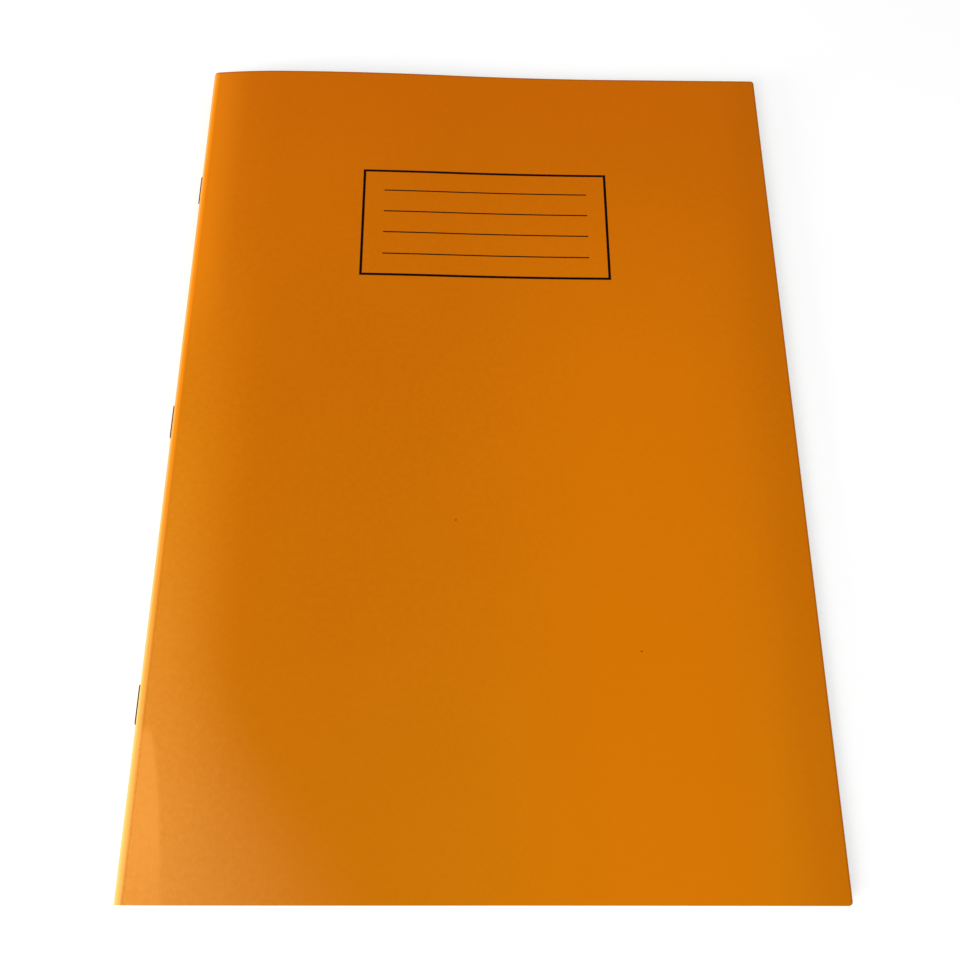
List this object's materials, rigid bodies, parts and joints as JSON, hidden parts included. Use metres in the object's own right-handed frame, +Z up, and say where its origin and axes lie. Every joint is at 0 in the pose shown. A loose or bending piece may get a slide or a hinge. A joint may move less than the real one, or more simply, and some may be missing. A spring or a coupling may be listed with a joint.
{
  "type": "exercise book",
  "caption": "Soft-cover exercise book of folded paper sheets in an orange card cover, held by wire staples through the fold, with a blank ruled label box on the front.",
  "frame": {"origin": "on the table below the middle of the closed book's bounding box", "axes": "+X from the spine to the fore edge, +Y to the head of the pages, +Z up out of the front cover"},
  "size_m": [0.2106, 0.297, 0.0082],
  "materials": {
    "cover_card": "matte",
    "page_paper": "matte",
    "staple_wire": "satin"
  },
  "bodies": {
    "back_half": {"back_cover": "cover_card", "back_leaf_01": "page_paper", "back_leaf_02": "page_paper", "back_leaf_03": "page_paper", "back_leaf_04": "page_paper", "back_leaf_05": "page_paper", "back_leaf_06": "page_paper", "back_leaf_07": "page_paper", "back_leaf_08": "page_paper", "back_leaf_09": "page_paper", "back_leaf_10": "page_paper", "back_leaf_11": "page_paper", "back_leaf_12": "page_paper", "back_leaf_13": "page_paper", "back_leaf_14": "page_paper", "back_leaf_15": "page_paper", "back_leaf_16": "page_paper", "back_leaf_17": "page_paper", "back_leaf_18": "page_paper", "back_leaf_19": "page_paper", "back_leaf_20": "page_paper"},
    "spine": {"cover_spine": "cover_card", "sheet_folds": "page_paper", "staple_head": "staple_wire", "staple_middle": "staple_wire", "staple_tail": "staple_wire"},
    "front_cover": {"front_cover": "cover_card"},
    "front_leaf_01": {"front_leaf_01": "page_paper"},
    "front_leaf_02": {"front_leaf_02": "page_paper"},
    "front_leaf_03": {"front_leaf_03": "page_paper"},
    "front_leaf_04": {"front_leaf_04": "page_paper"},
    "front_leaf_05": {"front_leaf_05": "page_paper"},
    "front_leaf_06": {"front_leaf_06": "page_paper"},
    "front_leaf_07": {"front_leaf_07": "page_paper"},
    "front_leaf_08": {"front_leaf_08": "page_paper"},
    "front_leaf_09": {"front_leaf_09": "page_paper"},
    "front_leaf_10": {"front_leaf_10": "page_paper"},
    "front_leaf_11": {"front_leaf_11": "page_paper"},
    "front_leaf_12": {"front_leaf_12": "page_paper"},
    "front_leaf_13": {"front_leaf_13": "page_paper"},
    "front_leaf_14": {"front_leaf_14": "page_paper"},
    "front_leaf_15": {"front_leaf_15": "page_paper"},
    "front_leaf_16": {"front_leaf_16": "page_paper"},
    "front_leaf_17": {"front_leaf_17": "page_paper"},
    "front_leaf_18": {"front_leaf_18": "page_paper"},
    "front_leaf_19": {"front_leaf_19": "page_paper"},
    "front_leaf_20": {"front_leaf_20": "page_paper"}
  },
  "joints": [
    {"name": "book_open", "type": "hinge", "parent": "back_half", "child": "front_leaf_02", "pos_m": [-0.10194, 0, 0.00415], "axis": [0, -1, 0], "range_deg": [0, 179.99]},
    {"name": "spine_roll", "type": "hinge", "parent": "back_half", "child": "spine", "pos_m": [-0.10194, 0, 0.00415], "axis": [0, -1, 0], "range_deg": [0, 90]},
    {"name": "first_leaf_turn", "type": "hinge", "parent": "front_leaf_02", "child": "front_leaf_01", "pos_m": [-0.10194, 0, 0.00415], "axis": [0, -1, 0], "range_deg": [0, 179.99]},
    {"name": "cover_turn", "type": "hinge", "parent": "front_leaf_01", "child": "front_cover", "pos_m": [-0.10194, 0, 0.00415], "axis": [0, -1, 0], "range_deg": [0, 179.99]},
    {"name": "front_leaf_03_turn", "type": "hinge", "parent": "back_half", "child": "front_leaf_03", "pos_m": [-0.10194, 0, 0.00415], "axis": [0, -1, 0], "range_deg": [0, 179.54]},
    {"name": "front_leaf_04_turn", "type": "hinge", "parent": "back_half", "child": "front_leaf_04", "pos_m": [-0.10194, 0, 0.00415], "axis": [0, -1, 0], "range_deg": [0, 179.09]},
    {"name": "front_leaf_05_turn", "type": "hinge", "parent": "back_half", "child": "front_leaf_05", "pos_m": [-0.10194, 0, 0.00415], "axis": [0, -1, 0], "range_deg": [0, 178.64]},
    {"name": "front_leaf_06_turn", "type": "hinge", "parent": "back_half", "child": "front_leaf_06", "pos_m": [-0.10194, 0, 0.00415], "axis": [0, -1, 0], "range_deg": [0, 178.19]},
    {"name": "front_leaf_07_turn", "type": "hinge", "parent": "back_half", "child": "front_leaf_07", "pos_m": [-0.10194, 0, 0.00415], "axis": [0, -1, 0], "range_deg": [0, 177.74]},
    {"name": "front_leaf_08_turn", "type": "hinge", "parent": "back_half", "child": "front_leaf_08", "pos_m": [-0.10194, 0, 0.00415], "axis": [0, -1, 0], "range_deg": [0, 177.29]},
    {"name": "front_leaf_09_turn", "type": "hinge", "parent": "back_half", "child": "front_leaf_09", "pos_m": [-0.10194, 0, 0.00415], "axis": [0, -1, 0], "range_deg": [0, 176.84]},
    {"name": "front_leaf_10_turn", "type": "hinge", "parent": "back_half", "child": "front_leaf_10", "pos_m": [-0.10194, 0, 0.00415], "axis": [0, -1, 0], "range_deg": [0, 176.39]},
    {"name": "front_leaf_11_turn", "type": "hinge", "parent": "back_half", "child": "front_leaf_11", "pos_m": [-0.10194, 0, 0.00415], "axis": [0, -1, 0], "range_deg": [0, 175.94]},
    {"name": "front_leaf_12_turn", "type": "hinge", "parent": "back_half", "child": "front_leaf_12", "pos_m": [-0.10194, 0, 0.00415], "axis": [0, -1, 0], "range_deg": [0, 175.49]},
    {"name": "front_leaf_13_turn", "type": "hinge", "parent": "back_half", "child": "front_leaf_13", "pos_m": [-0.10194, 0, 0.00415], "axis": [0, -1, 0], "range_deg": [0, 175.04]},
    {"name": "front_leaf_14_turn", "type": "hinge", "parent": "back_half", "child": "front_leaf_14", "pos_m": [-0.10194, 0, 0.00415], "axis": [0, -1, 0], "range_deg": [0, 174.59]},
    {"name": "front_leaf_15_turn", "type": "hinge", "parent": "back_half", "child": "front_leaf_15", "pos_m": [-0.10194, 0, 0.00415], "axis": [0, -1, 0], "range_deg": [0, 174.14]},
    {"name": "front_leaf_16_turn", "type": "hinge", "parent": "back_half", "child": "front_leaf_16", "pos_m": [-0.10194, 0, 0.00415], "axis": [0, -1, 0], "range_deg": [0, 173.69]},
    {"name": "front_leaf_17_turn", "type": "hinge", "parent": "back_half", "child": "front_leaf_17", "pos_m": [-0.10194, 0, 0.00415], "axis": [0, -1, 0], "range_deg": [0, 173.24]},
    {"name": "front_leaf_18_turn", "type": "hinge", "parent": "back_half", "child": "front_leaf_18", "pos_m": [-0.10194, 0, 0.00415], "axis": [0, -1, 0], "range_deg": [0, 172.79]},
    {"name": "front_leaf_19_turn", "type": "hinge", "parent": "back_half", "child": "front_leaf_19", "pos_m": [-0.10194, 0, 0.00415], "axis": [0, -1, 0], "range_deg": [0, 172.34]},
    {"name": "front_leaf_20_turn", "type": "hinge", "parent": "back_half", "child": "front_leaf_20", "pos_m": [-0.10194, 0, 0.00415], "axis": [0, -1, 0], "range_deg": [0, 171.89]}
  ],
  "couplings": [
    {"joint": "spine_roll", "follows": "book_open", "ratio": 0.5},
    {"joint": "front_leaf_03_turn", "follows": "book_open", "ratio": 0.9975},
    {"joint": "front_leaf_04_turn", "follows": "book_open", "ratio": 0.995},
    {"joint": "front_leaf_05_turn", "follows": "book_open", "ratio": 0.9925},
    {"joint": "front_leaf_06_turn", "follows": "book_open", "ratio": 0.99},
    {"joint": "front_leaf_07_turn", "follows": "book_open", "ratio": 0.9875},
    {"joint": "front_leaf_08_turn", "follows": "book_open", "ratio": 0.985},
    {"joint": "front_leaf_09_turn", "follows": "book_open", "ratio": 0.9825},
    {"joint": "front_leaf_10_turn", "follows": "book_open", "ratio": 0.98},
    {"joint": "front_leaf_11_turn", "follows": "book_open", "ratio": 0.9775},
    {"joint": "front_leaf_12_turn", "follows": "book_open", "ratio": 0.975},
    {"joint": "front_leaf_13_turn", "follows": "book_open", "ratio": 0.9725},
    {"joint": "front_leaf_14_turn", "follows": "book_open", "ratio": 0.97},
    {"joint": "front_leaf_15_turn", "follows": "book_open", "ratio": 0.9675},
    {"joint": "front_leaf_16_turn", "follows": "book_open", "ratio": 0.965},
    {"joint": "front_leaf_17_turn", "follows": "book_open", "ratio": 0.9625},
    {"joint": "front_leaf_18_turn", "follows": "book_open", "ratio": 0.96},
    {"joint": "front_leaf_19_turn", "follows": "book_open", "ratio": 0.9575},
    {"joint": "front_leaf_20_turn", "follows": "book_open", "ratio": 0.955}
  ]
}
